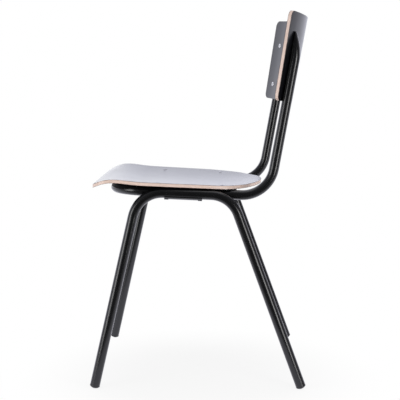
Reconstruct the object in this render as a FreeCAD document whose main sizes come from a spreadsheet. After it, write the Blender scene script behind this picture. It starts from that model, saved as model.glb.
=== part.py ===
import FreeCAD, Part
import math
import os
import re
import Sketcher

# A stacking chair: a bent tube frame with a moulded plywood seat and backrest riveted to it.
# X runs across the chair to the sitter's left, Y to the back, Z up. The origin is on the floor.
# Lengths are in millimetres and angles in degrees.

SIZES = {
    # Tube
    "tube_diameter": 22.0,
    "tube_wall": 1.5,
    "bend_radius": 66.0,
    # Seat and back tube, with places along the rails counted from the rails' middle
    "rail_spacing": 324.0,
    "rail_height": 432.8,
    "rail_middle": -0.05,
    "rail_slope": 2.4,
    "front_run_place": 194.5,
    "upright_place": 151.4,
    "upright_bend_radius": 71.0,
    "upright_lean": 10.1,
    "upright_length": 364.5,
    "tip_length": 63.0,
    "tip_end_depth": 3.3,
    "tip_end_width": 8.4,
    "tip_depth_power": 1.9,
    "tip_width_power": 4.0,
    "tip_solid_length": 6.3,
    # Leg loops
    "loop_gap": 0.3,
    "loop_front_place": 136.8,
    "loop_rear_place": 67.6,
    "front_leg_lean": 12.85,
    "rear_leg_lean": 20.2,
    "leg_splay": 2.9,
    # Weld beads in the grooves between rail and leg loop
    "bead_radius": 3.2,
    "bead_length": 30.0,
    "bead_inset": 2.0,
    "bead_sink": 1.9,
    # Foot glides
    "glide_dome_radius": 15.0,
    "glide_flat_depth": 0.5,
    "glide_rim": 2.5,
    "glide_stem_length": 20.0,
    "glide_stem_clearance": 0.8,
    "glide_rib_clearance": 0.1,
    "glide_rib_width": 1.4,
    # Stacking pads
    "pad_length": 83.0,
    "pad_thickness": 2.4,
    "pad_rear_place": 4.0,
    "pad_wrap": 96.0,
    "lug_length": 9.0,
    "lug_thickness": 3.5,
    "peg_diameter": 5.0,
    "peg_length": 6.0,
    "peg_clearance": 0.2,
    # Plywood panels
    "ply_thickness": 6.4,
    "laminate_thickness": 0.8,
    "panel_gap": 0.15,
    # Seat, with places along the rails counted from the rails' middle
    "trim": 2.0,
    "seat_front_place": 239.0,
    "seat_rear_place": 166.0,
    "seat_front_width": 411.0,
    "seat_rear_width": 371.0,
    "seat_shoulder_place": 76.0,
    "seat_front_corner_radius": 34.0,
    "seat_shoulder_radius": 110.0,
    "seat_rear_radius": 220.0,
    "dish_radius": 1800.0,
    "dish_end_place": 125.0,
    "front_flatness": 0.35,
    "edge_bow": 0.05,
    "waterfall_place": 208.0,
    "waterfall_radius": 60.0,
    "lift_place": 35.0,
    "lift_radius": 450.0,
    # Backrest, with places along the uprights counted from the line of the rails
    "back_radius": 370.0,
    "back_top_width": 369.6,
    "back_bottom_width": 353.0,
    "back_height": 194.0,
    "back_place": 211.4,
    "back_crown": 3.2,
    "back_crown_radius": 4500.0,
    "back_corner_radius": 14.0,
    "back_cut_near": 0.75,
    "back_cut_far": 1.1,
    # Rivets
    "seat_rivet_front_place": 97.0,
    "seat_rivet_rear_place": 46.0,
    "back_rivet_low_place": 248.0,
    "back_rivet_high_place": 344.5,
    "rivet_diameter": 4.8,
    "rivet_clearance": 0.2,
    "rivet_head_diameter": 10.0,
    "rivet_head_height": 1.9,
    "rivet_seat": 0.1,
    "rivet_bulb_diameter": 7.0,
    "rivet_bulb_length": 4.5,
    "pin_diameter": 2.5,
    "pin_clearance": 0.1,
    "pin_recess": 0.4,
    "pin_head_diameter": 4.0,
    "pin_head_length": 1.6,
}

# Shapes that are drawn through a row of sections
SEAT_STATIONS = 17
TIP_STATIONS = 7
GLIDE_RIBS = 3

doc = FreeCAD.newDocument("stacking_chair")
sheet = doc.addObject("Spreadsheet::Sheet", "sizes")
for row, (alias, number) in enumerate(SIZES.items(), start=1):
    sheet.set("A%d" % row, alias)
    sheet.set("B%d" % row, str(number))
    sheet.setAlias("B%d" % row, alias)
doc.recompute()


# Formulas on the sheet
def bound(formula):
    """Puts the sheet's name before each of its sizes, so that the document can read the formula."""
    return re.sub(r"[a-z_]+", lambda word: "sizes." + word[0] if word[0] in SIZES else word[0], formula)


def value(formula):
    """Gives a formula's number as it stands now."""
    number = sheet.evalExpression(bound(formula))
    return getattr(number, "Value", number)


def bind(item, **formulas):
    """Ties properties of an object to formulas on the sheet."""
    for name, formula in formulas.items():
        item.setExpression(name, bound(formula))


def shifted(x="0", y="0", z="0", axis="0; 0; 1", angle="0"):
    """Writes a placement: a move to x, y, z after a turn about an axis."""
    return "placement(vector(%s; %s; %s); rotation(vector(%s); %s))" % (x, y, z, axis, angle)


def make(kind, name, **formulas):
    """Adds one object of the Part kind and ties its properties."""
    item = doc.addObject("Part::" + kind, name)
    bind(item, **formulas)
    return item


def cut(name, base, tool, **formulas):
    item = make("Cut", name, **formulas)
    item.Base = base
    item.Tool = tool
    return item


def common(name, base, tool, **formulas):
    item = make("Common", name, **formulas)
    item.Base = base
    item.Tool = tool
    return item


def fuse(name, parts, **formulas):
    item = make("MultiFuse", name, **formulas)
    item.Shapes = parts
    return item


def group(name, parts):
    item = make("Compound", name)
    item.Links = parts
    return item


# Sketches
def place_point(sketch, geometry, position, x, y):
    """Holds a point of a sketch at x, y from its origin."""
    for kind, formula in (("DistanceX", x), ("DistanceY", y)):
        number = sketch.addConstraint(Sketcher.Constraint(kind, -1, 1, geometry, position, value(formula)))
        sketch.setExpression("Constraints[%d]" % number, bound(formula))


def draw(sketch, corners, closed=True):
    """Draws straight lines through corners (x, y, radius), rounded where a corner has a radius."""
    points = [FreeCAD.Vector(value(x), value(y), 0) for x, y, radius in corners]
    count = len(points)
    meets = []
    arcs = {}
    for index, (x, y, radius) in enumerate(corners):
        corner = points[index]
        if radius is None:
            meets.append((corner, corner))
            continue
        before = (points[index - 1] - corner).normalize()
        after = (points[(index + 1) % count] - corner).normalize()
        half = before.getAngle(after) / 2
        size = value(radius)
        meets.append((corner + before * (size / math.tan(half)), corner + after * (size / math.tan(half))))
        centre = corner + (before + after).normalize() * (size / math.sin(half))
        arcs[index] = (centre, size, before.cross(after).z < 0)
    lines = []
    for index in range(count if closed else count - 1):
        start = meets[index][1]
        end = meets[(index + 1) % count][0]
        lines.append(sketch.addGeometry(Part.LineSegment(start, end)))
    for index, (x, y, radius) in enumerate(corners):
        if not closed and index == 0:
            place_point(sketch, lines[0], 1, x, y)
        elif not closed and index == count - 1:
            place_point(sketch, lines[-1], 2, x, y)
        elif index not in arcs:
            sketch.addConstraint(Sketcher.Constraint("Coincident", lines[index - 1], 2, lines[index], 1))
            place_point(sketch, lines[index], 1, x, y)
        else:
            round_corner(sketch, lines[index - 1], lines[index], meets[index], arcs[index], corners[index])


def round_corner(sketch, line_in, line_out, meet, arc, corner):
    """Joins two lines of a sketch by an arc whose tangents cross at the corner."""
    centre, size, turns_left = arc
    x, y, radius = corner
    first, last = meet if turns_left else meet[::-1]
    angles = [math.atan2(point.y - centre.y, point.x - centre.x) for point in (first, last)]
    circle = Part.Circle(centre, FreeCAD.Vector(0, 0, 1), size)
    bend = sketch.addGeometry(Part.ArcOfCircle(circle, angles[0], angles[1]))
    point = sketch.addGeometry(Part.Point(FreeCAD.Vector(value(x), value(y), 0)), True)
    end_in, end_out = (1, 2) if turns_left else (2, 1)
    sketch.addConstraint(Sketcher.Constraint("Tangent", line_in, 2, bend, end_in))
    sketch.addConstraint(Sketcher.Constraint("Tangent", bend, end_out, line_out, 1))
    place_point(sketch, point, 1, x, y)
    sketch.addConstraint(Sketcher.Constraint("PointOnObject", point, 1, line_in))
    sketch.addConstraint(Sketcher.Constraint("PointOnObject", point, 1, line_out))
    number = sketch.addConstraint(Sketcher.Constraint("Radius", bend, size))
    sketch.setExpression("Constraints[%d]" % number, bound(radius))


def draw_circle(sketch, x, y, diameter):
    circle = Part.Circle(FreeCAD.Vector(value(x), value(y), 0), FreeCAD.Vector(0, 0, 1), value(diameter) / 2)
    ring = sketch.addGeometry(circle)
    place_point(sketch, ring, 3, x, y)
    number = sketch.addConstraint(Sketcher.Constraint("Diameter", ring, value(diameter)))
    sketch.setExpression("Constraints[%d]" % number, bound(diameter))


def free_sketch(name, frame):
    """Adds a sketch that stands in a frame of its own."""
    sketch = doc.addObject("Sketcher::SketchObject", name)
    bind(sketch, Placement=frame)
    doc.recompute()
    return sketch


def body_sketch(body, name, role, offset=None):
    """Adds a sketch on one of a body's own planes, moved by an offset."""
    sketch = body.newObject("Sketcher::SketchObject", name)
    plane = [feature for feature in body.Origin.OriginFeatures if feature.Role == role][0]
    sketch.AttachmentSupport = (plane, [""])
    sketch.MapMode = "FlatFace"
    if offset:
        bind(sketch, AttachmentOffset=offset)
    doc.recompute()
    return sketch


# Lengths and frames that several pieces share
TUBE_R = "(tube_diameter / 2)"
BORE = "(tube_diameter - 2 * tube_wall)"
RAIL_X = "(rail_spacing / 2)"
RUN_X = "(rail_spacing / 2 + tube_diameter + loop_gap)"
PANEL = "(ply_thickness + 2 * laminate_thickness)"
TO_PANEL = "(tube_diameter / 2 + panel_gap)"

ACROSS = "1; 0; 0"
ALONG = "0; 1; 0"
RAIL_FRAME = shifted(y="rail_middle", z="rail_height", axis=ACROSS, angle="-rail_slope")
LEAN_FROM_RAIL = "(upright_lean - rail_slope)"
UPRIGHT_FRAME = shifted(y="upright_place", axis=ACROSS, angle="-" + LEAN_FROM_RAIL)

# The panels lie against the round tubes, so the rivets lean towards the middle by these angles
SEAT_RIVET_TURN = "asin(%s / (dish_radius + %s))" % (RAIL_X, TO_PANEL)
BACK_RIVET_TURN = "asin(%s / (back_radius + %s + %s))" % (RAIL_X, PANEL, TO_PANEL)
BACK_AXIS = "sqrt((back_radius + %s + %s)^2 - %s^2)" % (PANEL, TO_PANEL, RAIL_X)

SIDES = {"left": "1", "right": "-1"}
SEAT_RIVET_PLACES = {"front": "-seat_rivet_front_place", "rear": "seat_rivet_rear_place"}
BACK_RIVET_PLACES = {"low": "back_rivet_low_place", "high": "back_rivet_high_place"}


def seat_rivet_frame(side, place):
    """Stands on the rail's axis under a seat rivet, with Z along the rivet towards its head."""
    turned = shifted("%s * %s" % (side, RAIL_X), place, axis=ALONG, angle="-%s * %s" % (side, SEAT_RIVET_TURN))
    return RAIL_FRAME + " * " + turned


def back_rivet_frame(side, place):
    """Stands on the upright's axis behind a backrest rivet, with Z along the rivet towards its head."""
    turned = shifted("%s * %s" % (side, RAIL_X), z=place, angle="-%s * %s" % (side, BACK_RIVET_TURN))
    return " * ".join([RAIL_FRAME, UPRIGHT_FRAME, turned, shifted(axis=ACROSS, angle="90")])


RIVET_FRAMES = {
    "seat": [seat_rivet_frame(s, p) for s in SIDES.values() for p in SEAT_RIVET_PLACES.values()],
    "back": [back_rivet_frame(s, p) for s in SIDES.values() for p in BACK_RIVET_PLACES.values()],
}


def rivet_holes(name, panel, low, high, diameter):
    """Round cutters along the four rivets of a panel, from low to high above the tube's axis."""
    holes = []
    for number, frame in enumerate(RIVET_FRAMES[panel]):
        hole = make("Cylinder", "%s_%d" % (name, number), Radius=diameter + " / 2", Height="%s - %s" % (high, low),
                    Placement=frame + " * " + shifted(z=low))
        holes.append(hole)
    return group(name, holes)


# Seat and back tube
# One tube makes the front run, both rails and both uprights. Its upper ends are pressed shut.
RAIL_END = "(upright_place - upright_bend_radius - tube_diameter)"
TIP_START = "(upright_length - tip_length)"


def tip_section(name, part, inset):
    """An oval across the upright, flat towards the panel, at a part of the pressed end's length."""
    depth = "(tube_diameter - (tube_diameter - tip_end_depth) * %s^tip_depth_power)" % part
    width = "(tube_diameter - (tube_diameter - tip_end_width) * %s^tip_width_power)" % part
    turned = shifted(RAIL_X, angle="-" + BACK_RIVET_TURN)
    placed = shifted(y="%s / 2 - %s" % (depth, TUBE_R), z="%s + %s * tip_length" % (TIP_START, part))
    return make("Ellipse", name, MajorRadius="%s / 2 - %s" % (width, inset), MinorRadius="%s / 2 - %s" % (depth, inset),
                Placement=" * ".join([UPRIGHT_FRAME, turned, placed]))


def whole_tube(name, inset, tip_end):
    """The tube's outside, or its bore when inset by the wall, with both pressed ends."""
    radius = "%s - %s" % (TUBE_R, inset)
    profile = make("Circle", name + "_profile", Radius=radius,
                   Placement=shifted(RAIL_X, RAIL_END, axis=ACROSS, angle="90"))
    sweeps = []
    for path in (frame_path, upright_path):
        sweep = doc.addObject("Part::Sweep", "%s_%s" % (name, path.Name))
        sweep.Sections = [profile]
        sweep.Spine = (path, ["Edge%d" % (number + 1) for number in range(len(path.Shape.Edges))])
        sweep.Solid = True
        sweeps.append(sweep)
    tip = doc.addObject("Part::Loft", name + "_tip")
    tip.Sections = [make("Circle", name + "_tip_0", Radius=radius,
                         Placement=UPRIGHT_FRAME + " * " + shifted(RAIL_X, z=TIP_START, angle="-" + BACK_RIVET_TURN))]
    for number in range(1, TIP_STATIONS):
        part = "(%s * %d / %d)" % (tip_end, number, TIP_STATIONS - 1)
        tip.Sections += [tip_section("%s_tip_%d" % (name, number), part, inset)]
    tip.Solid = True
    twins = []
    for solid in (sweeps[1], tip):
        twin = doc.addObject("Part::Mirroring", solid.Name + "_twin")
        twin.Source = solid
        twin.Normal = FreeCAD.Vector(1, 0, 0)
        twins.append(twin)
    return fuse(name, sweeps + [tip] + twins)


frame_path = free_sketch("frame_path", shifted())
draw(frame_path, [
    (RAIL_X, RAIL_END, None),
    (RAIL_X, "-front_run_place", "bend_radius"),
    ("-" + RAIL_X, "-front_run_place", "bend_radius"),
    ("-" + RAIL_X, RAIL_END, None),
], closed=False)
upright_path = free_sketch("upright_path", shifted(RAIL_X) + " * " + shifted(axis="1; 1; 1", angle="120"))
draw(upright_path, [
    (RAIL_END, "0", None),
    ("upright_place", "0", "upright_bend_radius"),
    ("upright_place + %s * sin(%s)" % (TIP_START, LEAN_FROM_RAIL), "%s * cos(%s)" % (TIP_START, LEAN_FROM_RAIL), None),
], closed=False)
doc.recompute()
tube_outside = whole_tube("tube_outside", "0", "1")
tube_bore = whole_tube("tube_bore", "tube_wall", "(1 - tip_solid_length / tip_length)")
hollow_tube = cut("hollow_tube", tube_outside, tube_bore, Placement=RAIL_FRAME)
RIVET_HOLE = "(rivet_diameter + rivet_clearance)"
tube_holes = group("tube_holes", [
    rivet_holes("seat_tube_holes", "seat", "(%s / 2 - 2 * tube_wall)" % BORE, "tube_diameter", RIVET_HOLE),
    rivet_holes("back_tube_holes", "back", "(%s / 2 - 2 * tube_wall)" % BORE, "tube_diameter", RIVET_HOLE),
])
seat_back_tube = cut("seat_back_tube", hollow_tube, tube_holes)

# Leg loops
# Each loop is one tube: front leg, a straight run beside the rail, and rear leg. It leans outwards.
FRONT_LEAN = "(front_leg_lean - rail_slope)"
REAR_LEAN = "(rear_leg_lean + rail_slope)"
GLIDE_RIM_DEPTH = "(sqrt(glide_dome_radius^2 - %s^2) - glide_rim)" % TUBE_R


def leg_length(place, lean, sign):
    """From the corner of the loop to the centre of the glide's dome."""
    drop = "(cos(%s) * cos(leg_splay) * cos(rail_slope) %s sin(%s) * sin(rail_slope))" % (lean, sign, lean)
    centre_height = "(glide_dome_radius - glide_flat_depth)"
    return "((rail_height - %s * sin(rail_slope) - %s) / %s)" % (place, centre_height, drop)


FRONT_LEG = leg_length("(-loop_front_place)", FRONT_LEAN, "-")
REAR_LEG = leg_length("loop_rear_place", REAR_LEAN, "+")
FRONT_TUBE = "(%s + %s)" % (FRONT_LEG, GLIDE_RIM_DEPTH)
REAR_TUBE = "(%s + %s)" % (REAR_LEG, GLIDE_RIM_DEPTH)


def loop_frame(side):
    return RAIL_FRAME + " * " + shifted("%s * %s" % (side, RUN_X), axis=ALONG, angle="-%s * leg_splay" % side)


LUG_PLACES = ["(pad_rear_place - lug_length / 2)", "(pad_rear_place - pad_length + lug_length / 2)"]


def leg_loop(name, side):
    loop = doc.addObject("PartDesign::Body", name)
    bind(loop, Placement=loop_frame(side))
    path = body_sketch(loop, name + "_path", "YZ_Plane")
    front_y = "(-loop_front_place - %s * sin(%s))" % (FRONT_TUBE, FRONT_LEAN)
    front_z = "(-%s * cos(%s))" % (FRONT_TUBE, FRONT_LEAN)
    draw(path, [
        (front_y, front_z, None),
        ("-loop_front_place", "0", "bend_radius"),
        ("loop_rear_place", "0", "bend_radius"),
        ("loop_rear_place + %s * sin(%s)" % (REAR_TUBE, REAR_LEAN), "-%s * cos(%s)" % (REAR_TUBE, REAR_LEAN), None),
    ], closed=False)
    ring = body_sketch(loop, name + "_ring", "XY_Plane",
                       shifted(y=front_y, z=front_z, axis=ACROSS, angle="-" + FRONT_LEAN))
    draw_circle(ring, "0", "0", "tube_diameter")
    draw_circle(ring, "0", "0", BORE)
    doc.recompute()
    pipe = loop.newObject("PartDesign::AdditivePipe", name + "_pipe")
    pipe.Profile = ring
    pipe.Spine = (path, ["Edge%d" % (number + 1) for number in range(len(path.Shape.Edges))])
    doc.recompute()
    pegs = body_sketch(loop, name + "_peg_holes", "XY_Plane")
    for place in LUG_PLACES:
        draw_circle(pegs, "0", place, "peg_diameter + peg_clearance")
    before = pipe.Shape.Volume
    pocket = loop.newObject("PartDesign::Pocket", name + "_pocket")
    pocket.Profile = pegs
    pocket.Type = "Length"
    bind(pocket, Length="tube_diameter")
    doc.recompute()
    if pocket.Shape.Volume >= before:
        raise ValueError("the peg holes of %s cut nothing" % name)
    return loop


leg_loops = [leg_loop(side + "_leg_loop", sign) for side, sign in SIDES.items()]


# Weld beads
# Short beads fill the grooves above and below, near both ends of the straight run.
FRONT_RUN_END = "(-loop_front_place + bend_radius * tan((90 - %s) / 2))" % FRONT_LEAN
REAR_RUN_END = "(loop_rear_place - bend_radius * tan((90 - %s) / 2))" % REAR_LEAN
HALF_GROOVE = "((tube_diameter + loop_gap) / 2)"
BEAD_X = "(%s + %s)" % (RAIL_X, HALF_GROOVE)
BEAD_Z = "sqrt((%s + bead_radius - bead_sink)^2 - %s^2)" % (TUBE_R, HALF_GROOVE)
BEAD_STARTS = ["(%s + bead_inset)" % FRONT_RUN_END, "(%s - bead_inset - bead_length)" % REAR_RUN_END]


def welds(name, side):
    beads = []
    tubes = []
    for number, x in enumerate((RAIL_X, RUN_X)):
        tubes.append(make("Cylinder", "%s_tube_%d" % (name, number), Radius=TUBE_R, Height="4 * front_run_place",
                          Placement=shifted("%s * %s" % (side, x), "2 * front_run_place", axis=ACROSS, angle="90")))
    for height in ("1", "-1"):
        for start in BEAD_STARTS:
            place = shifted("%s * %s" % (side, BEAD_X), "%s + bead_length" % start, "%s * %s" % (height, BEAD_Z),
                            ACROSS, "90")
            beads.append(make("Cylinder", "%s_bead_%d" % (name, len(beads)), Radius="bead_radius",
                              Height="bead_length", Placement=place))
    return cut(name, group(name + "_beads", beads), group(name + "_tubes", tubes), Placement=RAIL_FRAME)


weld_groups = [welds(side + "_welds", sign) for side, sign in SIDES.items()]


# Foot glides
# A moulded glide closes each leg: a dome with a small flat on the floor, a rim as wide as the tube, and a
# ribbed stem inside it.
floor = make("Box", "floor", Length="2 * rail_spacing", Width="4 * front_run_place", Height="glide_dome_radius",
             Placement=shifted("-rail_spacing", "-2 * front_run_place", "-glide_dome_radius"))


def glide(name, side, place, lean, length, direction):
    low = "(-glide_dome_radius)"
    rim = make("Cylinder", name + "_rim", Radius=TUBE_R, Height="glide_dome_radius - " + GLIDE_RIM_DEPTH,
               Placement=shifted(z=low))
    dome = common(name + "_dome", make("Sphere", name + "_ball", Radius="glide_dome_radius"), rim)
    stem_r = "(%s / 2 - glide_stem_clearance)" % BORE
    pieces = [dome, make("Cylinder", name + "_stem", Radius=stem_r, Height="glide_stem_length",
                         Placement=shifted(z="-" + GLIDE_RIM_DEPTH))]
    for number in range(GLIDE_RIBS):
        rise = "(glide_stem_length - glide_rib_width) * %d / %d" % (number + 1, GLIDE_RIBS + 1)
        pieces.append(make("Cylinder", "%s_rib_%d" % (name, number), Radius="%s / 2 - glide_rib_clearance" % BORE,
                           Height="glide_rib_width", Placement=shifted(z="%s - %s" % (rise, GLIDE_RIM_DEPTH))))
    foot = shifted(y="%s %s %s * sin(%s)" % (place, direction, length, lean), z="-%s * cos(%s)" % (length, lean),
                   axis=ACROSS, angle="%s%s" % ("-" if direction == "-" else "", lean))
    return cut(name, fuse(name + "_whole", pieces, Placement=loop_frame(side) + " * " + foot), floor)


glides = []
for side, sign in SIDES.items():
    glides.append(glide("front_%s_glide" % side, sign, "-loop_front_place", FRONT_LEAN, FRONT_LEG, "-"))
    glides.append(glide("rear_%s_glide" % side, sign, "loop_rear_place", REAR_LEAN, REAR_LEG, "+"))


# Stacking pads
# A pad cups the underside of each run, so that stacked chairs don't scratch. Two lugs hold it with pegs.
def cup(name, inner, outer, wrap, start, length):
    """A length of cupped sheet under the run, between two radii about the tube's axis."""
    place = shifted(y="%s + %s" % (start, length), axis=ACROSS, angle="90") + " * " + shifted(angle="-90 - %s / 2" % wrap)
    sheet_out = make("Cylinder", name + "_outer", Radius=outer, Height=length, Angle=wrap, Placement=place)
    core = make("Cylinder", name + "_inner", Radius=inner, Height="%s + 2 * %s" % (length, TUBE_R),
                Placement=shifted(y="%s + %s + %s" % (start, length, TUBE_R), axis=ACROSS, angle="90"))
    return cut(name, sheet_out, core)


def stacking_pad(name, side):
    start = "(pad_rear_place - pad_length)"
    pieces = [cup(name + "_cup", TUBE_R, TUBE_R + " + pad_thickness", "pad_wrap", start, "pad_length")]
    for number, place in enumerate(LUG_PLACES):
        pieces.append(cup("%s_lug_%d" % (name, number), TUBE_R, TUBE_R + " + lug_thickness", "pad_wrap / 2",
                          "(%s - lug_length / 2)" % place, "lug_length"))
        pieces.append(make("Cylinder", "%s_peg_%d" % (name, number), Radius="peg_diameter / 2",
                           Height="peg_length + lug_thickness / 2",
                           Placement=shifted(y=place, z="-%s - lug_thickness / 2" % TUBE_R)))
    return fuse(name, pieces, Placement=loop_frame(side))


pads = [stacking_pad(side + "_stacking_pad", sign) for side, sign in SIDES.items()]

# Layers of both panels, from the tube outwards: laminate, plywood, laminate
LAYERS = {
    "rear": ("0", "laminate_thickness"),
    "core": ("laminate_thickness", "laminate_thickness + ply_thickness"),
    "front": ("laminate_thickness + ply_thickness", PANEL),
}
PANEL_HOLE_LOW = "(%s - tube_wall)" % TUBE_R
PANEL_HOLE_HIGH = "(%s + 2 * %s)" % (TO_PANEL, PANEL)

# Seat
# The blank is pressed over a form that is dished from side to side, falls at the front like a waterfall
# and lifts at the rear, and its outline is cut afterwards. It rests on both rails and on the front run.
HALF_BLANK = "(seat_front_width / 2)"
BLANK_FRONT = "(-seat_front_place - trim)"
BLANK_LENGTH = "(seat_front_place + seat_rear_place + trim)"
DISH_DEPTH = "(%s^2 / (2 * dish_radius))" % RAIL_X


def seat_station(number):
    """An arc across the seat's underside, at one of the even steps from front to rear."""
    place = "(%s + %s * %d / %d)" % (BLANK_FRONT, BLANK_LENGTH, number, SEAT_STATIONS - 1)
    step = "min(1; max(0; (-%s - dish_end_place) / (front_run_place - dish_end_place)))" % place
    flat = "(%s^2 * (3 - 2 * %s))" % (step, step)
    fading = "min(1; max(0; (-%s - front_run_place) / (seat_front_place - front_run_place)))" % place
    bow = "((1 - front_flatness * %s) * (1 - (1 - edge_bow) * %s) / dish_radius)" % (flat, fading)
    fall = "(max(0; -%s - waterfall_place)^2 / (2 * waterfall_radius))" % place
    lift = "(max(0; %s - lift_place)^2 / (2 * lift_radius))" % place
    rise = "(%s + %s * (%s - 1) - %s + %s)" % (TO_PANEL, DISH_DEPTH, flat, fall, lift)
    half_arc = "asin(%s * %s)" % (HALF_BLANK, bow)
    return make("Circle", "seat_station_%d" % number, Radius="1 / " + bow,
                Angle1="270 deg - " + half_arc, Angle2="270 deg + " + half_arc,
                Placement=shifted(y=place, z="%s + 1 / %s" % (rise, bow), axis=ACROSS, angle="90"))


seat_form = doc.addObject("Part::Loft", "seat_form")
seat_form.Sections = [seat_station(number) for number in range(SEAT_STATIONS)]
seat_form.Solid = False

seat_outline = free_sketch("seat_outline", shifted(z="-seat_front_place"))
draw(seat_outline, [
    ("-seat_front_width / 2", "-seat_front_place", "seat_front_corner_radius"),
    ("seat_front_width / 2", "-seat_front_place", "seat_front_corner_radius"),
    ("seat_rear_width / 2", "seat_shoulder_place", "seat_shoulder_radius"),
    ("0", "seat_rear_place", "seat_rear_radius"),
    ("-seat_rear_width / 2", "seat_shoulder_place", "seat_shoulder_radius"),
])


def seat_layer(name, layer):
    low, high = LAYERS[layer]
    slab = make("Extrusion", name + "_slab", LengthFwd=high, LengthRev="-(%s)" % low)
    slab.Base = seat_form
    slab.DirMode = "Custom"
    slab.Dir = FreeCAD.Vector(0, 0, 1)
    cutter = make("Extrusion", name + "_cutter", LengthFwd="2 * seat_front_place")
    cutter.Base = seat_outline
    cutter.Solid = True
    trimmed = common(name + "_trimmed", slab, cutter, Placement=RAIL_FRAME)
    holes = rivet_holes(name + "_holes", "seat", PANEL_HOLE_LOW, PANEL_HOLE_HIGH, RIVET_HOLE)
    return cut(name, trimmed, holes)


seat_layers = [
    seat_layer("seat_under_laminate", "rear"),
    seat_layer("seat_core", "core"),
    seat_layer("seat_top_laminate", "front"),
]

# Backrest
# The panel is bent about one upright axis, so it is hollow towards the sitter and lies against the uprights.
# Its outline is cut square to its faces, towards that axis, and its upper edge is slightly crowned.
BACK_SWEEP = "(2 * asin((back_top_width / 2 + trim) / back_radius))"


def back_outline(name, share):
    """The panel's outline as it is cut at a share of the front face's radius from the axis."""
    distance = "(%s * back_radius)" % share
    top = "(back_place + back_height)"
    corners = [("0", "(%s + back_crown)" % top, "back_crown_radius")]
    for side, width, height in (("-1", "back_top_width", top), ("-1", "back_bottom_width", "back_place"),
                                ("1", "back_bottom_width", "back_place"), ("1", "back_top_width", top)):
        slant = "(%s / 2) / sqrt(back_radius^2 - (%s / 2)^2)" % (width, width)
        corners.append(("%s * %s * %s" % (side, distance, slant), height, "back_corner_radius"))
    outline = free_sketch(name, shifted(y="%s - %s" % (distance, BACK_AXIS), axis=ACROSS, angle="90"))
    draw(outline, corners)
    return outline


back_cutter = doc.addObject("Part::Loft", "back_cutter")
back_cutter.Sections = [back_outline("back_outline_near", "back_cut_near"),
                        back_outline("back_outline_far", "back_cut_far")]
back_cutter.Solid = True
back_cutter.Ruled = True


def back_layer(name, layer):
    low, high = LAYERS[layer]
    blank = "back_height + back_crown + 2 * trim"
    turned = shifted(y="-" + BACK_AXIS, z="back_place - trim", angle="90 deg - %s / 2" % BACK_SWEEP)
    outer = make("Cylinder", name + "_outer", Radius="back_radius + %s - (%s)" % (PANEL, low), Height=blank,
                 Angle=BACK_SWEEP, Placement=turned)
    inner = make("Cylinder", name + "_inner", Radius="back_radius + %s - (%s)" % (PANEL, high), Height=blank,
                 Placement=shifted(y="-" + BACK_AXIS, z="back_place - trim"))
    bent = cut(name + "_bent", outer, inner)
    trimmed = common(name + "_trimmed", bent, back_cutter, Placement=RAIL_FRAME + " * " + UPRIGHT_FRAME)
    holes = rivet_holes(name + "_holes", "back", PANEL_HOLE_LOW, PANEL_HOLE_HIGH, RIVET_HOLE)
    return cut(name, trimmed, holes)


back_layers = [
    back_layer("back_rear_laminate", "rear"),
    back_layer("back_core", "core"),
    back_layer("back_front_laminate", "front"),
]

# Rivets
# Blind rivets: a domed head on the panel, a shank through panel and tube wall, and a bulb drawn up inside
# the tube by a steel pin that stays in the bore.
HEAD_BASE = "(%s + %s + rivet_seat)" % (TO_PANEL, PANEL)
BULB_SAG = "(%s / 2 - sqrt((%s / 2)^2 - (rivet_bulb_diameter / 2)^2))" % (BORE, BORE)
BULB_TOP = "(%s / 2 - %s - rivet_seat)" % (BORE, BULB_SAG)
BULB_END = "(%s - rivet_bulb_length)" % BULB_TOP
HEAD_BALL = "((rivet_head_height^2 + (rivet_head_diameter / 2)^2) / (2 * rivet_head_height))"


def rod(name, diameter, low, high):
    return make("Cylinder", name, Radius=diameter + " / 2", Height="%s - %s" % (high, low), Placement=shifted(z=low))


def rivet(name, frame):
    ball = make("Sphere", name + "_ball", Radius=HEAD_BALL,
                Placement=shifted(z="%s + rivet_head_height - %s" % (HEAD_BASE, HEAD_BALL)))
    disc = rod(name + "_disc", "rivet_head_diameter", HEAD_BASE, "(%s + 2 * rivet_head_height)" % HEAD_BASE)
    head = common(name + "_head", ball, disc)
    shank = rod(name + "_shank", "rivet_diameter", BULB_END, "(%s + rivet_head_height / 4)" % HEAD_BASE)
    bulb = rod(name + "_bulb", "rivet_bulb_diameter", BULB_END, BULB_TOP)
    bore = rod(name + "_bore", "(pin_diameter + 2 * pin_clearance)", "(%s - pin_head_length)" % BULB_END,
               "(%s + 2 * rivet_head_height)" % HEAD_BASE)
    return cut(name, fuse(name + "_whole", [head, shank, bulb]), bore, Placement=frame)


def rivet_pin(name, frame):
    shaft = rod(name + "_shaft", "pin_diameter", "(%s - pin_head_length / 2)" % BULB_END,
                "(%s + rivet_head_height - pin_recess)" % HEAD_BASE)
    head = rod(name + "_head", "pin_head_diameter", "(%s - pin_head_length)" % BULB_END, BULB_END)
    return fuse(name, [shaft, head], Placement=frame)


fasteners = []
for panel, frames in RIVET_FRAMES.items():
    rivets = [rivet("%s_rivet_%d" % (panel, number), frame) for number, frame in enumerate(frames)]
    pins = [rivet_pin("%s_pin_%d" % (panel, number), frame) for number, frame in enumerate(frames)]
    fasteners.append(group(panel + "_rivets", rivets))
    fasteners.append(group(panel + "_rivet_pins", pins))

nodes = [seat_back_tube] + leg_loops + weld_groups + glides + pads + seat_layers + back_layers + fasteners
doc.recompute()

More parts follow.
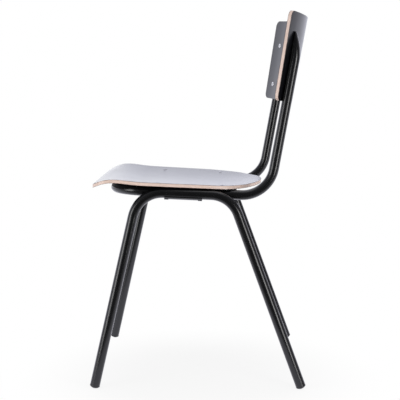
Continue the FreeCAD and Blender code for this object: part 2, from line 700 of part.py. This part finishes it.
# Check and write
for item in doc.Objects:
    if "Invalid" in item.State or "Error" in item.State:
        raise ValueError("%s is %s: %s" % (item.Name, item.State, item.getStatusString()[:300]))
os.makedirs("parts", exist_ok=True)
for node in nodes:
    if node.Shape.isNull() or not node.Shape.isValid() or not node.Shape.Solids:
        raise ValueError("%s has no valid solid" % node.Name)
    node.Shape.exportStep("parts/%s.step" % node.Name)
    box = node.Shape.optimalBoundingBox()
    print("%-22s solids %d volume %9.0f  x %7.1f %7.1f  y %7.1f %7.1f  z %7.1f %7.1f" % (
        node.Name, len(node.Shape.Solids), node.Shape.Volume, box.XMin, box.XMax, box.YMin, box.YMax,
        box.ZMin, box.ZMax))
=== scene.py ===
import math

import bpy
from mathutils import Matrix, Vector


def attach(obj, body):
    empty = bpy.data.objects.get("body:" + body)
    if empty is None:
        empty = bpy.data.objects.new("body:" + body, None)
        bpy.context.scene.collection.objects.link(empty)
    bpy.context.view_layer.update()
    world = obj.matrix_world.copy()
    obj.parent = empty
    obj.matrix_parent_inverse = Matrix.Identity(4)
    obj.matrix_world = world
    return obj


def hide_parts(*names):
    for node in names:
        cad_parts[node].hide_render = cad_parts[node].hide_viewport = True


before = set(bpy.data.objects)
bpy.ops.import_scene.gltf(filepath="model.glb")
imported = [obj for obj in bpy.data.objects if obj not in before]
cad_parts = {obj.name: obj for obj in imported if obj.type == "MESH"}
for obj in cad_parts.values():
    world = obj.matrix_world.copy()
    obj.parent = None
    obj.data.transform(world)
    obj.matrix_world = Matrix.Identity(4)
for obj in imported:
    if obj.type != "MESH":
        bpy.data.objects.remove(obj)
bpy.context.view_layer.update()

# Camera. The chair is seen from its left side, from a little above the seat, as for a shop picture.
view_from = Vector((2.170, 0.02695, 0.6747))
view_down = math.radians(7.298)
view_turn = math.radians(-0.7776)
ahead = Vector((
    -math.cos(view_down) * math.cos(view_turn),
    math.cos(view_down) * math.sin(view_turn),
    -math.sin(view_down),
))
to_right = Vector((math.sin(view_turn), math.cos(view_turn), 0))
camera_data = bpy.data.cameras.new("camera")
camera_data.lens = 82.0
camera_data.sensor_width = 36.0
camera_data.shift_x = -0.0012
camera_data.shift_y = 0.0004
camera = bpy.data.objects.new("camera", camera_data)
bpy.context.scene.collection.objects.link(camera)
camera.matrix_world = Matrix.Translation(view_from) @ Matrix(
    (to_right, to_right.cross(ahead), -ahead)
).transposed().to_4x4()
bpy.context.scene.camera = camera


# Floor and light. A white studio sweep stands behind and under the chair, and the room in front of it is dim.
# Two soft boxes stand beside the camera and draw the lines of light down the tubes, and a wide one hangs
# overhead. The camera sees the sweep as plain white, with a faint shadow on the floor.
class Wire:
    """A socket in a finish. Sums that are written with wires add Math nodes."""

    def __init__(self, socket):
        self.socket = socket
        self.tree = socket.id_data

    def node(self, kind, settings, inputs, output=0):
        """Adds a node, with its settings first and then its inputs, and gives one of its outputs."""
        made = self.tree.nodes.new(kind)
        for name, setting in settings.items():
            if name == "stops":
                while len(made.color_ramp.elements) < len(setting):
                    made.color_ramp.elements.new(1)
                for element, (place, shade) in zip(made.color_ramp.elements, setting):
                    element.position = place
                    element.color = (*shade, 1)
            else:
                setattr(made, name, setting)
        for name, given in inputs.items():
            if isinstance(given, Wire):
                self.tree.links.new(given.socket, made.inputs[name])
            else:
                made.inputs[name].default_value = given
        return Wire(made.outputs[output])

    def math(self, operation, *others):
        return self.node("ShaderNodeMath", {"operation": operation}, dict(enumerate((self,) + others)))

    def __add__(self, other):
        return self.math("ADD", other)

    def __mul__(self, other):
        return self.math("MULTIPLY", other)

    def __sub__(self, other):
        return self.math("SUBTRACT", other)

    def __rsub__(self, other):
        return (self * -1) + other

    __radd__ = __add__
    __rmul__ = __mul__

    def between(self, low, high):
        """Rises smoothly from 0 at low to 1 at high."""
        return self.node("ShaderNodeMapRange", {"interpolation_type": "SMOOTHSTEP"},
                         {"Value": self, "From Min": low, "From Max": high})

    def noise(self, scale, detail, roughness=0.5):
        """A noise over the places that this wire carries."""
        return self.node("ShaderNodeTexNoise", {}, {
            "Vector": self, "Scale": scale, "Detail": detail, "Roughness": roughness})

    def blend(self, at_none, at_full):
        """A colour that goes from one to another as this wire goes from 0 to 1."""
        return self.node("ShaderNodeMix", {"data_type": "RGBA"}, {0: self, 6: at_none, 7: at_full}, 2)


def new_finish(name, **uniform):
    """A finish with its even values on the shader itself. Gives the material, its shader and a first wire."""
    finish = bpy.data.materials.new(name)
    finish.use_nodes = True
    shader = finish.node_tree.nodes["Principled BSDF"]
    for socket, given in uniform.items():
        shader.inputs[socket.replace("_", " ")].default_value = given
    place = finish.node_tree.nodes.new("ShaderNodeTexCoord")
    return finish, shader, Wire(place.outputs["Object"])


def feed(shader, socket, wire):
    """Links a wire to one of the shader's sockets."""
    wire.tree.links.new(wire.socket, shader.inputs[socket])


# The floor glows white for the camera. Mirrored in the chair it is brighter than white on the far side, dim
# on the camera's side, and bright again where it lies within about 0.4 m of the piece that mirrors it.
white = (1, 1, 1, 1)
cool_white = (0.96, 0.96, 1.06, 1)
shadow_middle = (0.12, 0.0, 0.0)
shadow_depth = 0.16
far_glow = 1.4
glow_lost_nearer = 1.3
close_glow = 1.2
glow_lost_far_off = 0.3
floor_size = 12
floor_behind = -4.2
floor_finish, floor_shader, place = new_finish("studio_floor", Roughness=0.9, Specular_IOR_Level=0.1)
feed(floor_shader, "Base Color", place.noise(3.0, 2.0) * 0.01 + 0.88)
distance = place.node("ShaderNodeVectorMath", {"operation": "DISTANCE"},
                      {0: place, 1: shadow_middle}, "Value")
nearer = place.node("ShaderNodeSeparateXYZ", {}, {"Vector": place}, "X")
path = floor_finish.node_tree.nodes.new("ShaderNodeLightPath")
seen = Wire(path.outputs["Is Camera Ray"])
mirrored = Wire(path.outputs["Is Glossy Ray"]).math("MAXIMUM", Wire(path.outputs["Is Transmission Ray"]))
close_by = 1 - Wire(path.outputs["Ray Length"]).between(0.30, 0.48)
mirror = (far_glow - nearer.between(0.05, 0.75) * glow_lost_nearer).math("MAXIMUM", close_by * close_glow)
brightness = seen + mirrored * mirror * (1 - distance.between(1.2, 3.5) * glow_lost_far_off)
glow = seen.node("ShaderNodeEmission", {}, {
    "Color": mirrored.blend(white, cool_white), "Strength": brightness})
share = seen * (distance.between(0.15, 0.45) * shadow_depth + (1 - shadow_depth)) + mirrored
mixed = seen.node("ShaderNodeMixShader", {}, {"Fac": share, 1: Wire(floor_shader.outputs[0]), 2: glow})
feed(floor_finish.node_tree.nodes["Material Output"], "Surface", mixed)
bpy.ops.object.select_all(action="DESELECT")
bpy.ops.mesh.primitive_plane_add(size=1, location=(floor_behind, 0, 0))
floor = bpy.context.object
floor.name = "floor"
floor.scale = (floor_size, floor_size, 1)
bpy.ops.object.transform_apply(location=True, rotation=False, scale=True)
floor.data.materials.append(floor_finish)

# The room is white for the camera. Mirrored in the chair it goes from dark behind the camera to bright on the
# sweep, and the sweep's wall is brighter at some heights than at others.
sweep_side = (-0.940, -0.342, 0.0)
mirrored_room = 2.7
room_fill = 0.50
room = bpy.data.worlds.new("room")
bpy.context.scene.world = room
room.use_nodes = True
backdrop = room.node_tree.nodes["Background"]
path = room.node_tree.nodes.new("ShaderNodeLightPath")
seen = Wire(path.outputs["Is Camera Ray"])
reflected = Wire(path.outputs["Is Glossy Ray"]).math("MAXIMUM", Wire(path.outputs["Is Transmission Ray"]))
diffuse = 1 - seen.math("MAXIMUM", reflected)
direction = Wire(room.node_tree.nodes.new("ShaderNodeTexCoord").outputs["Generated"])
towards = direction.node("ShaderNodeVectorMath", {"operation": "DOT_PRODUCT"},
                         {0: direction, 1: sweep_side}, "Value")
sweep = towards.node("ShaderNodeValToRGB", {"stops": [
    (0.03, (0.035, 0.035, 0.038)), (0.33, (0.15, 0.15, 0.17)), (0.50, (0.26, 0.26, 0.29)),
    (0.67, (0.32, 0.32, 0.355)), (0.93, (0.76, 0.77, 0.87)), (0.965, (0.80, 0.81, 0.91)),
    (0.99, (0.95, 0.96, 1.0)),
]}, {"Fac": towards * 0.5 + 0.5})
upward = direction.node("ShaderNodeSeparateXYZ", {}, {"Vector": direction}, "Z")
wall = upward.node("ShaderNodeValToRGB", {"stops": [(height, (grey, grey, grey)) for height, grey in (
    (0.0, 0.68), (0.16, 1.0), (0.32, 0.80), (0.42, 0.58), (0.50, 0.88), (0.56, 0.99), (0.66, 0.72),
)]}, {"Fac": upward * 2})
feed(backdrop, "Color", reflected.blend(white, sweep))
feed(backdrop, "Strength", seen + reflected * wall * mirrored_room + diffuse * room_fill)


def soft_box(name, place, target, width, height, power):
    """A rectangular studio lamp, turned to its target. The camera doesn't see it."""
    data = bpy.data.lights.new(name, "AREA")
    data.shape = "RECTANGLE"
    data.size = width
    data.size_y = height
    data.energy = power
    lamp = bpy.data.objects.new(name, data)
    bpy.context.scene.collection.objects.link(lamp)
    lamp.location = place
    lamp.rotation_euler = (Vector(target) - lamp.location).to_track_quat("-Z", "Y").to_euler()
    lamp.visible_camera = False


soft_box("soft_box_front", (1.221, -1.456, 0.48), (0, 0, 0.48), 0.90, 0.96, 12.4)
soft_box("soft_box_rear", (1.434, 1.247, 0.46), (0, 0, 0.46), 0.62, 0.92, 12.2)
soft_box("soft_box_overhead", (-0.4, 0.0, 2.8), (0, 0, 0.5), 3.0, 3.0, 22)

# Seat and back tube: one steel tube, 22 mm across, bent into the front run, the two rails and the two
# uprights, with its upper ends pressed to closed tips. It is coated with satin black powder, whose cured skin
# is very finely rippled, like orange peel.
MILLIMETRE = 0.001
TUBE_RADIUS = 11.0
RAIL_ACROSS = 162
RAIL_MIDDLE = Vector((0, -0.05, 432.8)) * MILLIMETRE
RAIL_SLOPE = math.radians(-2.4)


def shades(pattern, darkest, lightest):
    """A colour that follows a pattern from its darkest shade to its lightest."""
    return pattern.node("ShaderNodeValToRGB", {"stops": [(0.3, darkest), (0.7, lightest)]}, {"Fac": pattern})


def emboss(shader, pattern, strength, depth=0.0001):
    """Raises a fine pattern on the shader's surface, by its depth in metres."""
    feed(shader, "Normal", pattern.node("ShaderNodeBump", {}, {
        "Height": pattern, "Strength": strength, "Distance": depth}))


def dress(names, finish):
    """Gives CAD nodes their finish."""
    for name in names:
        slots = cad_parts[name].data.materials
        slots.clear()
        slots.append(finish)


coat, coat_shader, place = new_finish("satin_black_powder", Specular_IOR_Level=0.5)
peel = place.noise(700.0, 3.0)
cloud = place.noise(40.0, 3.0)
feed(coat_shader, "Base Color", shades(cloud, (0.0022, 0.0022, 0.0025), (0.0036, 0.0036, 0.0040)))
feed(coat_shader, "Roughness", peel * 0.03 + cloud * 0.04 + 0.19)
emboss(coat_shader, peel, 0.02)
dress(["seat_back_tube"], coat)

# Leg loops: the same steel tube, bent into a front leg, a top run and a rear leg, one loop outside each rail.
# They are coated together with the rest of the frame, after welding.
dress(["left_leg_loop", "right_leg_loop"], coat)

# Weld beads: four short beads of steel join each leg loop to its rail, two above and two below. Each is laid
# as a row of small overlapping pools, which set as ripples, and the powder coat covers them. A bead starts as
# a tilted disc at its front end, which is drawn along the rail and swells at every pool.
loop_gap = 0.3
bead_length = 0.0275
bead_height = 0.0040
bead_across = (RAIL_ACROSS + TUBE_RADIUS + loop_gap / 2) * MILLIMETRE
bead_rise = 0.0050
bead_alongs = (-0.06486, 0.00659)
pools = 13
pool_tilt = math.radians(35)


def on_rail(across, along, above):
    """A place in metres, by its distances across the chair, along the rails' slope and above their axes."""
    return RAIL_MIDDLE + Matrix.Rotation(RAIL_SLOPE, 3, "X") @ Vector((across, along, above))


swells = [0.30, 0.62, 0.84] + [0.91, 0.97, 1.0, 0.97] * pools + [0.84, 0.62, 0.30]
bpy.ops.object.select_all(action="DESELECT")
bpy.ops.mesh.primitive_circle_add(vertices=20, radius=bead_height * swells[0], fill_type="NGON",
                                  location=(0, -bead_length / 2, 0),
                                  rotation=(math.pi / 2 - pool_tilt, 0, 0))
bead = bpy.context.object
bpy.ops.object.transform_apply(location=True, rotation=True, scale=True)
bpy.ops.object.mode_set(mode="EDIT")
bpy.ops.mesh.select_all(action="SELECT")
step = bead_length / (len(swells) - 1)
for number in range(1, len(swells)):
    growth = swells[number] / swells[number - 1]
    middle = (0, step * number - bead_length / 2, 0)
    bpy.ops.mesh.extrude_region_move(TRANSFORM_OT_translate={"value": (0, step, 0)})
    bpy.ops.transform.resize(value=(growth, growth, growth), center_override=middle)
bpy.ops.mesh.select_all(action="SELECT")
bpy.ops.mesh.remove_doubles(threshold=0.00001)
bpy.ops.mesh.normals_make_consistent(inside=False)
bpy.ops.object.mode_set(mode="OBJECT")
bpy.ops.object.shade_smooth_by_angle(angle=math.radians(50))
bead.data.materials.append(coat)
for side, across in (("left", bead_across), ("right", -bead_across)):
    beads = []
    for above, turn in ((bead_rise, 0), (-bead_rise, math.pi)):
        for along in bead_alongs:
            bpy.ops.object.select_all(action="DESELECT")
            bead.select_set(True)
            bpy.context.view_layer.objects.active = bead
            bpy.ops.object.duplicate(linked=False)
            copy = bpy.context.object
            copy.rotation_mode = "YXZ"
            copy.rotation_euler = (RAIL_SLOPE, turn, 0)
            copy.location = on_rail(across, along, above)
            beads.append(copy)
    for copy in beads:
        copy.select_set(True)
    bpy.ops.object.transform_apply(location=True, rotation=True, scale=True)
    bpy.ops.object.join()
    joined = bpy.context.object
    joined.name = side + "_weld_beads"
    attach(joined, "root")
    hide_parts(side + "_welds")
bpy.data.objects.remove(bead)

# Foot glides: black moulded polyethylene plugs, pressed into the open ends of the legs, with a domed sole
# that stands on the floor. They are matt and faintly grained.
glide_plastic, glide_shader, place = new_finish("black_glide_plastic", Specular_IOR_Level=0.4)
grain = place.noise(1500.0, 2.0)
feed(glide_shader, "Base Color", shades(grain, (0.010, 0.010, 0.011), (0.018, 0.018, 0.019)))
feed(glide_shader, "Roughness", grain * 0.15 + 0.45)
emboss(glide_shader, grain, 0.3)
dress(["front_left_glide", "front_right_glide", "rear_left_glide", "rear_right_glide"], glide_plastic)

# Stacking pads: black nylon, moulded in one piece and clipped under each leg loop, where it rests on the
# chair below. The mould leaves a smooth, slightly streaked skin.
pad_plastic, pad_shader, place = new_finish("black_pad_nylon", Specular_IOR_Level=0.5)
streaks = place.node("ShaderNodeMapping", {}, {"Vector": place, "Scale": (1.0, 0.15, 1.0)})
flow = streaks.noise(260.0, 3.0)
feed(pad_shader, "Base Color", shades(flow, (0.009, 0.009, 0.010), (0.016, 0.016, 0.018)))
feed(pad_shader, "Roughness", flow * 0.08 + 0.22)
emboss(pad_shader, flow, 0.1)
dress(["left_stacking_pad", "right_stacking_pad"], pad_plastic)

# Seat: moulded plywood of five beech veneers with a dark satin laminate pressed on both faces. The laminate
# is a thin slate decor sheet on brown kraft paper, and the cut edge is lacquered, so each layer shows there.
# The board is dished across, lifts at the rear and falls off at the front. Its sizes are in millimetres.
BOARD = 8.0
LAMINATE = 0.8
VENEER = (BOARD - 2 * LAMINATE) / 5
BOARD_GAP = 0.15
BOARD_ABOVE_RAIL = TUBE_RADIUS + BOARD_GAP
DISH_RADIUS = 1800
DISH_END = 125
FRONT_RUN = 194.5
SEAT_FRONT = 239
FRONT_FLATNESS = 0.35
EDGE_BOW = 0.05
WATERFALL_FROM = 208
WATERFALL_RADIUS = 60
LIFT_FROM = 35
LIFT_RADIUS = 450


def on_board(place, origin, slope):
    """The place in millimetres from a board's own origin and along its own slope."""
    return place.node("ShaderNodeMapping", {"vector_type": "TEXTURE"}, {
        "Vector": place, "Location": origin, "Rotation": (slope, 0, 0), "Scale": (MILLIMETRE,) * 3})


def seat_depth(place):
    """Height in millimetres above the seat's underside, which the form gives it."""
    local = on_board(place, RAIL_MIDDLE, RAIL_SLOPE)
    x, y, z = (local.node("ShaderNodeSeparateXYZ", {}, {"Vector": local}, axis) for axis in "XYZ")
    forward = y * -1
    flat = forward.between(DISH_END, FRONT_RUN)
    fading = ((forward - FRONT_RUN) * (1 / (SEAT_FRONT - FRONT_RUN))).math("MAXIMUM", 0).math("MINIMUM", 1)
    bow = (1 - flat * FRONT_FLATNESS) * (1 - fading * (1 - EDGE_BOW)) * (1 / DISH_RADIUS)
    fall = (forward - WATERFALL_FROM).math("MAXIMUM", 0).math("POWER", 2) * (1 / (2 * WATERFALL_RADIUS))
    lift = (y - LIFT_FROM).math("MAXIMUM", 0).math("POWER", 2) * (1 / (2 * LIFT_RADIUS))
    dish = RAIL_ACROSS ** 2 / (2 * DISH_RADIUS)
    return z - (flat * dish - dish + BOARD_ABOVE_RAIL - fall + lift + x * x * bow * 0.5)


def plywood(name, depth_of):
    """Veneers that lie crosswise in turn, with thin glue lines between them, under clear lacquer."""
    # The depth counts in veneers, so it is a whole number at each glue line.
    finish, shader, place = new_finish(name)
    depth = (depth_of(place) - LAMINATE) * (1 / VENEER)
    crosswise = depth.math("FLOOR").math("MODULO", 2).math("ABSOLUTE")
    glue = 1 - depth.math("PINGPONG", 0.5).between(0.02, 0.09)
    pores = place.noise(1100.0, 4.0, 0.6)
    streaks = place.noise(90.0, 3.0)
    long_grain = shades(streaks * 0.6 + pores * 0.4, (0.69, 0.54, 0.47), (0.79, 0.63, 0.57))
    end_grain = shades(pores * 0.7 + streaks * 0.3, (0.55, 0.41, 0.34), (0.71, 0.55, 0.48))
    wood = crosswise.blend(long_grain, end_grain)
    feed(shader, "Base Color", (glue * 0.55).blend(wood, (0.34, 0.19, 0.12, 1)))
    feed(shader, "Roughness", pores * 0.12 + 0.36)
    emboss(shader, pores * 0.5 - glue * 0.6, 0.12)
    return finish


def laminate(name, depth_of, flat_side):
    """Slate decor with a fine suede grain outside, and brown kraft paper where it is cut."""
    # The decor shows on the board's two faces and, where it is cut, as its outer 0.2 mm.
    finish, shader, place = new_finish(name, Specular_IOR_Level=0.65)
    middle = (depth_of(place) - BOARD / 2).math("ABSOLUTE")
    facing = Wire(place.socket.node.outputs["Normal"])
    flatwise = facing.node("ShaderNodeVectorMath", {"operation": "DOT_PRODUCT"},
                           {0: facing, 1: flat_side}, "Value").math("ABSOLUTE")
    outer = flatwise.between(0.62, 0.74) * middle.between(BOARD / 2 - 0.6, BOARD / 2 - 0.5)
    decor = middle.between(BOARD / 2 - 0.24, BOARD / 2 - 0.16).math("MAXIMUM", outer)
    grain = place.noise(1600.0, 3.0, 0.6)
    cloud = place.noise(14.0, 3.0)
    slate = shades(grain * 0.7 + cloud * 0.3, (0.0035, 0.0038, 0.0052), (0.0060, 0.0064, 0.0084))
    kraft = shades(grain, (0.10, 0.048, 0.034), (0.17, 0.09, 0.068))
    feed(shader, "Base Color", decor.blend(kraft, slate))
    feed(shader, "Roughness", (1 - decor) * 0.3 + grain * 0.04 + cloud * 0.04 + 0.25)
    emboss(shader, grain, 0.02)
    return finish


dress(["seat_core"], plywood("seat_plywood", seat_depth))
dress(["seat_under_laminate", "seat_top_laminate"], laminate("seat_laminate", seat_depth, (0, 0, 1)))

# Backrest: the same plywood and laminate, bent about one upright axis and cut square to its faces. It leans
# back with the uprights, which hold it from behind. Its sizes are in millimetres.
UPRIGHT_PLACE = 151.4
UPRIGHT_LEAN = math.radians(-10.1)
BACK_RADIUS = 370


def back_depth(place):
    """Distance in millimetres in front of the backrest's rear face."""
    local = on_board(place, on_rail(0, UPRIGHT_PLACE * MILLIMETRE, 0), UPRIGHT_LEAN)
    x, y = (local.node("ShaderNodeSeparateXYZ", {}, {"Vector": local}, axis) for axis in "XY")
    rear_radius = BACK_RADIUS + BOARD
    behind = y + math.sqrt((rear_radius + BOARD_ABOVE_RAIL) ** 2 - RAIL_ACROSS ** 2)
    return rear_radius - (x * x + behind * behind).math("SQRT")


dress(["back_core"], plywood("back_plywood", back_depth))
dress(["back_rear_laminate", "back_front_laminate"], laminate("back_laminate", back_depth, (0, 1, 0)))


# Rivets: eight aluminium blind rivets with bright domed heads, four through the seat into the rails and four
# through the backrest into the uprights. The heads on the seat are rougher, and their metal is darker:
# painted shade, which dims their mirrored light.
def small_metal(name, darkest, lightest, dullness):
    """Bare or plated metal with a fine grain."""
    finish, shader, place = new_finish(name, Metallic=1.0)
    grain = place.noise(2000.0, 3.0)
    feed(shader, "Base Color", shades(grain, darkest, lightest))
    feed(shader, "Roughness", grain * 0.1 + dullness)
    emboss(shader, grain, 0.1, 0.00005)
    return finish


# The seat's rivets get a darker copy of the rivet metal, painted shade that dims their mirrored light.
dress(["seat_rivets"], small_metal("seat_rivets_painted_shade", (0.36, 0.36, 0.38), (0.46, 0.46, 0.49), 0.38))
dress(["back_rivets"], small_metal("bright_rivets", (0.58, 0.58, 0.59), (0.68, 0.68, 0.69), 0.22))

# Rivet pins: the zinc plated steel pins that spread the rivets inside the tubes. The pulled end of each shows
# as a dull dot in the middle of its head.
zinc = small_metal("zinc_pins", (0.33, 0.33, 0.35), (0.45, 0.45, 0.47), 0.40)
dress(["seat_rivet_pins", "back_rivet_pins"], zinc)

bpy.context.scene.view_settings.view_transform = "Standard"
